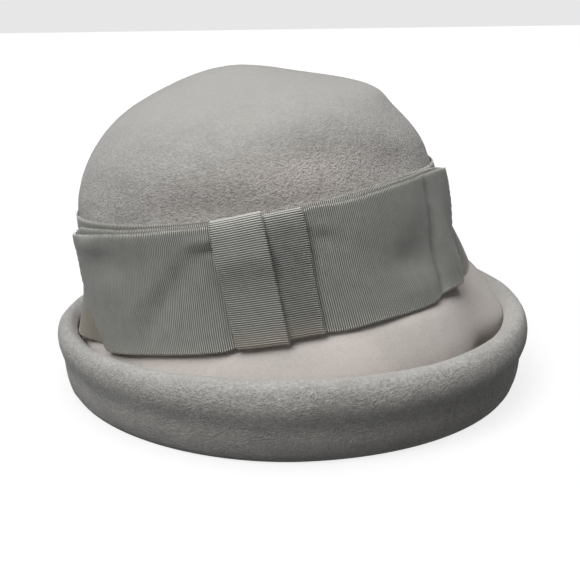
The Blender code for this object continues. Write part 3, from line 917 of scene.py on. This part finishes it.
bow = {
    # its edges round the crown: angle, height of the lower edge, height of the upper edge
    "edgeAngle": (200.0, 215.0, 235.0, 250.0, 257.0, 260.0, 277.5, 280.5, 292.0, 313.0, 318.0, 330.0, 347.0),
    "lowEdge": (6.4, 6.4, 8.3, 9.4, 9.9, 11.3, 12.0, 11.0, 11.0, 10.4, 11.8, 11.0, 10.4),
    "highEdge": (56.0, 58.0, 58.9, 59.2, 58.8, 58.0, 58.4, 59.9, 59.6, 60.2, 60.0, 59.4, 56.0),
    "rows": 18,
    "innerRise": (200.0, 226.0, 2.3),    # the inner layer's top edge stands higher from this angle to that
    "innerEdges": (0.9, 1.2),            # its top edge shows a little everywhere, its low edge is drawn up
    "innerTurn": (2.5, 0.75),            # how steeply both come in round the turn, and how late
    "knot": 268.0,             # where the count of ribs starts, round the crown
    "steps": (500, 40),        # fine steps along each layer and round the end
    "wallReach": 88.0,         # the crown's reach there, which makes degrees of a length
    "perDegree": 1.5,          # length of a degree round the crown
    "crowding": 1.4,           # the rows crowd towards the upper edge by this power
    "evenPast": 6.0,           # the ribs are evenly spaced as far as this past the turn
    "pressed": (38.0, 45.0, 0.85),     # ribs are pressed from this far off the knot, over this much, to this
    "backOffset": 2.05,        # middle of the inner layer, out from the felt
    "frontOffset": 4.35,       # middle of the outer layer at the knot
    "endOffset": 5.9,          # and where the ribbon turns back
    "swellPower": 2.2,
    # the ends of the loop round the crown, at shares of the ribbon's width from its lower edge
    "share": (0.0, 0.17, 0.34, 0.5, 0.66, 0.81, 1.0),
    "backEnd": (217.5, 214.2, 210.8, 208.0, 205.8, 204.0, 202.0),
    "frontEnd": (325.0, 328.5, 331.5, 334.5, 338.5, 342.0, 346.0),
    # puffs and hollows of the outer layer: angle, height, spread round and up, how far it stands out
    "puffs": (
        (212.5, 53.5, 6.5, 3.2, 2.3),
        (218.5, 46.0, 9.0, 4.0, -2.4),
        (222.0, 35.0, 9.0, 5.0, 0.8),
        (226.0, 7.0, 16.0, 5.0, 1.7),
        (226.0, 24.0, 8.0, 8.0, 1.0),
        (234.0, 57.0, 12.0, 5.0, 0.9),
        (251.0, 7.0, 13.0, 11.0, 2.9),
        (291.0, 8.0, 10.0, 10.0, 1.9),
        (290.0, 30.0, 9.0, 12.0, 1.0),
        (309.5, 29.5, 7.0, 5.0, -1.9),
        (309.0, 18.0, 8.0, 4.5, 1.3),
        (296.0, 50.0, 8.0, 6.0, 0.8),
        (312.0, 48.0, 7.0, 7.0, 0.9),
        (330.0, 12.0, 8.0, 14.0, -1.0),
        (330.0, 46.0, 7.0, 8.0, 0.9),
        (325.4, 27.0, 3.8, 12.0, 3.2),
    ),
    # soft creases: from one angle and height to another, how wide, and how far they stand out
    "creases": (
        (325.2, 60.0, 322.6, 42.0, 2.0, -1.8),
        (322.6, 42.0, 319.8, 27.3, 2.0, -2.4),
        (319.8, 27.3, 315.6, 10.0, 1.6, -2.3),
        (250.5, 48.5, 235.0, 20.0, 3.2, -1.4),
        (243.0, 46.0, 230.0, 24.0, 3.6, 0.9),
        (259.5, 51.4, 249.5, 49.4, 1.3, -1.4),
        (259.5, 54.8, 249.5, 52.6, 1.6, 1.7),
        (281.0, 54.0, 287.0, 51.0, 1.4, 0.9),
        (281.0, 50.0, 289.0, 46.0, 1.8, -0.9),
    ),
    "creaseShares": (0.12, 0.88),      # a crease's depth grows and falls along it, but not to nothing
    "heldFlat": (11.5, 4),     # under the strips no puff stands up: spread in degrees, and how abruptly
    "unevenness": (16.0, 0.07, 8, 33),
    "flat": (0.051, 0.40),
}


def bowRelief(angle, height):
    # how far the outer layer stands out from its even shape: soft round puffs, and creases whose depth
    # falls off with the distance from a line
    perDegree = bow["perDegree"]
    lift = np.zeros(np.broadcast(angle, height).shape)
    for around, up, spreadRound, spreadUp, swell in bow["puffs"]:
        away = ((angle - around) * perDegree / spreadRound) ** 2 + ((height - up) / spreadUp) ** 2
        lift += swell * np.exp(-away / 2.0)
    for startAngle, startHeight, endAngle, endHeight, width, swell in bow["creases"]:
        run = np.array([(endAngle - startAngle) * perDegree, endHeight - startHeight])
        across, up = (angle - startAngle) * perDegree, height - startHeight
        share = np.clip((across * run[0] + up * run[1]) / (run @ run), 0.0, 1.0)
        away = (across - share * run[0]) ** 2 + (up - share * run[1]) ** 2
        depth = np.sin(np.pi * np.clip(share, *bow["creaseShares"])) ** 0.5
        lift += swell * np.exp(-away / (2.0 * width ** 2)) * depth
    spread, power = bow["heldFlat"]
    held = np.exp(-((angle - bow["knot"]) / spread) ** power)
    return np.where(lift > 0.0, lift * (1.0 - held), lift)


def bowHeight(share, angle):
    # height of a place across the ribbon, between its two edges at this angle
    low, high = curvesIn(bow, angle, "edgeAngle", "lowEdge", "highEdge")
    return low + (high - low) * share


def bowHalf(share, endName):
    # half of the loop at one place across the ribbon, as angles and offsets from the knot: along the
    # outer layer to the end, round it in a half circle, and back along the inner layer
    front, back = curvesIn(bow, share, "share", "frontEnd", "backEnd")
    end, sign = (front, 1.0) if endName == "front" else (back, -1.0)
    layerSteps, turnSteps = bow["steps"]
    angle = np.linspace(bow["knot"], end, layerSteps)
    along = (angle - back) / (front - back)
    swell = np.abs(2.0 * along - 1.0) ** bow["swellPower"]
    outer = (bow["frontOffset"] + (bow["endOffset"] - bow["frontOffset"]) * swell
             + bowRelief(angle, bowHeight(share, angle)))
    radius = (outer[-1] - bow["backOffset"]) / 2.0
    turn = np.linspace(0.0, np.pi, turnSteps)[1:-1]
    bend = end + sign * math.degrees(radius / bow["wallReach"]) * np.sin(turn)
    angles = np.concatenate([angle, bend, np.linspace(end, bow["knot"], layerSteps)])
    steep, late = bow["innerTurn"]
    inner = np.concatenate([np.zeros(layerSteps), np.clip(turn / np.pi * steep - late, 0.0, 1.0),
                            np.ones(layerSteps)])
    offsets = np.concatenate([outer, bow["backOffset"] + radius * (1.0 + np.cos(turn)),
                              np.full(layerSteps, bow["backOffset"])])
    lengths = lengthsAlong(crownPoint(np.radians(angles), bowHeight(0.5, angles), offsets))
    start, finish, rise = bow["innerRise"]
    showing, drawn = bow["innerEdges"]
    lift = showing + (rise - showing) * fall(angles, finish, finish - start)
    heights = bowHeight(share, angles) + (lift * share ** 2 + drawn * (1.0 - share) ** 2) * inner
    return angles, heights, offsets, lengths, lengths[layerSteps + turnSteps]


def makeBow():
    # columns stand on the same ribs at every place across the ribbon, as far as the loop's ends; the
    # lower edge's loop is shorter, and its inner layer, which nothing shows, is drawn together
    shares = acrossShares(bow["rows"], bow["crowding"])
    sides, places = [], []
    for endName in ("front", "back"):
        longest = bowHalf(1.0, endName)[3][-1]
        at = ribPlaces(int(longest / ribbon["pitch"]))
        rows = []
        for share in shares:
            angles, heights, offsets, lengths, turned = bowHalf(share, endName)
            keep = turned + bow["evenPast"]
            place = np.where(at < keep, at, keep + (at - keep) * (lengths[-1] - keep) / (at[-1] - keep))
            angle, height, offset = (np.interp(place, lengths, v) for v in (angles, heights, offsets))
            rows.append(crownPoint(np.radians(angle), height, offset))
        sides.append(np.array(rows))
        places.append(at)
    grid = np.concatenate([sides[0][:, :-1], sides[1][:, :0:-1]], axis=1)
    at = np.concatenate([places[0][:-1], -places[1][:0:-1]])
    start, over, most = bow["pressed"]
    return finishRibbon("bowLoop", "bow_loop", "bow_grosgrain", makeRibbonMaterial("bowGrosgrain"),
                        grid, at, shares * bow["flat"][0] / mm, bow["unevenness"],
                        pressed=np.minimum(climb(np.abs(at), start, over), most))


bowPiece, bowEdges = makeBow()
print("bow is folded")


# The knot: two upright strips over the middle of the bow, their ends turned in over the band's edges

strip = {
    "low": 10.2,
    "high": 60.9,
    "corner": 1.5,             # rounding of the folded ends
    "lean": 7.5,               # the upper end rounds over this much of its height
    "belly": (46.0, 8.0),      # height and half width of a slight swelling of the front
    "fade": (0.75, 9.0),       # a painted highlight on the upper fold, this strong, from this far below it
    "tuck": 2.0,               # how far out from the felt they stop
    "warm": (20.0, 9.0),       # warmer below this height, over this much
    "look": (0.4, 0.3),        # warmth, strength of the painted highlight on the edges
    "rows": 25,
    "steps": (13, 30),         # round each fold, and up the front
    "droop": 0.35,             # how far the back edge sinks towards the bow,
    "curl": 0.75,              # and how far the front edge lifts off what lies under it
    "flat": (0.020, 0.068),
    # name, node, offset, overlap, swelling, depth of the upper fold, rise of the upper end from back to
    # front, tone, which for the under strip is painted shade, then the edges round the crown: low back, low
    # front, high back, high front
    "pieces": (
        # the under strip is the same ribbon painted darker: painted shade
        ("knotStripUnder", "knot_strip_under", 5.75, 0.0, 0.5, 1.5, 0.4, 0.72, 266.5, 279.1, 266.0, 280.1),
        ("knotStripOver", "knot_strip_over", 6.95, 1.0, 2.2, 2.6, 1.3, 1.0, 258.6, 270.7, 256.3, 269.4),
    ),
}


def stripPath(offset, overlap, swell, fold):
    # out from the felt under the lower edges, round a quarter circle, up the front, round and in again
    low, high = strip["low"] - overlap, strip["high"] + overlap
    corner, (foldSteps, frontSteps) = strip["corner"], strip["steps"]
    turn = np.linspace(0.0, np.pi / 2.0, foldSteps)
    rise, inner = 1.0 - np.cos(turn), 1.0 - np.sin(turn)
    heights = np.concatenate([[low], low + corner * rise,
                              np.linspace(low + corner, high - strip["lean"], frontSteps)[1:-1],
                              high - strip["lean"] * rise[::-1], [high]])
    offsets = np.concatenate([[strip["tuck"]], offset - corner * inner, np.full(frontSteps - 2, offset),
                              offset - fold * inner[::-1], [strip["tuck"]]])
    offsets[1:-1] += swell * hump(heights[1:-1], *strip["belly"])
    return heights, offsets


def makeStrips():
    # each strip's path carried across from its back edge to its front edge
    made = []
    for name, node, offset, overlap, swell, fold, tilt, tone, *corners in strip["pieces"]:
        lowBack, lowFront, highBack, highFront = corners
        heights, offsets = stripPath(offset, overlap, swell, fold)
        along = lengthsAlong(np.stack([heights, offsets], axis=-1))
        at = ribPlaces(int(along[-1] / ribbon["pitch"]))
        height, out = np.interp(at, along, heights), np.interp(at, along, offsets)
        share = (height - strip["low"]) / (strip["high"] - strip["low"])
        back, front = lowBack + (highBack - lowBack) * share, lowFront + (highFront - lowFront) * share
        across = np.linspace(0.0, 1.0, strip["rows"])[:, None]
        side = 2.0 * across - 1.0
        sink = np.where(side < 0.0, strip["droop"], -strip["curl"]) * side ** 4
        angle = np.radians(back + (front - back) * across)
        tilted = height[None] + tilt * np.clip(share, 0.0, 1.0) * side / 2.0
        grid = crownPoint(angle, tilted, out[None] - sink)
        middle = len(at) // 2
        # painted highlight, growing towards the upper fold
        fade, foldHighlightDepth = strip["fade"]
        faded = fade * np.clip((height - strip["high"] + foldHighlightDepth) / foldHighlightDepth, 0.0, 1.0) ** 2
        width = np.linalg.norm(grid[-1, middle] - grid[0, middle])
        material = makeRibbonMaterial(name + "Grosgrain", tone, *strip["look"])
        made.append(finishRibbon(name, node, "knot_grosgrain", material, grid, at, across[:, 0] * width,
                                 closed=False, column=middle, warm=fall(height, *strip["warm"]), faded=faded))
    return made


strips = makeStrips()
print("knot strips are folded")


# Picots: the tiny loops of thread that stand along every edge of the ribbon, one for each rib

picot = {
    "halfWidth": 0.14,         # half the gap between a loop's feet
    "start": 0.15,             # a loop's feet stand this far out from the edge of the ribbon's middle,
    "reach": 0.60,             # and its top this much further
    "thread": 0.16,            # radius of the thread
    "steps": 5,                # rings along a loop
    "sides": 4,
    "dark": (0.50, 0.49, 0.45),
    "light": (0.78, 0.76, 0.70),
    "surface": (0.6, 0.25, 0.5, 0.3),
    "mottle": (700.0, 1.0),    # fineness and detail
    "mottleRange": (0.3, 0.7),
    "tone": 1.0,
    # the knot's picots are painted darker: painted shade along the strips' edges
    "knotShadeTone": 0.55,
}


def makePicots(name, edges, material):
    # along each edge line, one arch of thread on the crest of each rib: a half ellipse in the ribbon's
    # plane, swept by a small ring. An edge is points, the way out across the ribbon, and out from its face.
    steps, sides = picot["steps"], picot["sides"]
    block = steps * sides
    a = np.linspace(0.0, np.pi, steps)[None, :, None, None]
    r = np.linspace(0.0, 2.0 * np.pi, sides, endpoint=False)[None, None, :, None]
    arch = gridFaces(steps, sides, False, True)
    caps = np.array([[3, 2, 1, 0], [block - 4, block - 3, block - 2, block - 1]])
    points, faces, count = [], [], 0
    for line, outward, normal in edges:
        number = (len(line) - 1) // ribbon["samples"]
        ribs = np.arange(number) * ribbon["samples"] + ribbon["samples"] // 2
        run = unit(line[ribs + 1] - line[ribs - 1])
        run, out, up, middle = (v[:, None, None, :] for v in (run, outward[ribs], normal[ribs], line[ribs]))
        spoke = run * np.cos(a) + out * np.sin(a)
        standing = np.sin(a) * picot["reach"] + picot["start"]
        centre = middle + run * np.cos(a) * picot["halfWidth"] + out * standing
        loops = centre + picot["thread"] * (spoke * np.cos(r) + up * np.sin(r))
        points.append(loops.reshape(-1, 3))
        first = np.arange(number)[:, None, None] * block + count
        faces += [(part[None] + first).reshape(-1, 4) for part in (arch, caps)]
        count += number * block
    return makePiece(name, np.concatenate(points), faces, material)


def makePicotMaterial(name, tone):
    # pale thread, a little darker and lighter from loop to loop
    material, tree, shader = newMaterial(name, picot["surface"])
    shade = addRange(tree, addNoise(tree, objectPlace(tree), *picot["mottle"]), *picot["mottleRange"])
    dark, light = (tuple(value * tone for value in picot[end]) for end in ("dark", "light"))
    setInputs(tree, shader, {"Base Color": addMix(tree, shade, dark, light)})
    return material


picotThread = makePicotMaterial("picotThread", picot["tone"])
# a darker copy of the thread for the knot: painted shade
shadedKnotThread = makePicotMaterial("shadedKnotThread", picot["knotShadeTone"])
bandPicots = makePicots("bandPicots", bandEdges, picotThread)
bowPicots = makePicots("bowPicots", bowEdges, picotThread)
knotPicots = makePicots("knotPicots", strips[0][1] + strips[1][1], shadedKnotThread)
print("picot edges are looped")
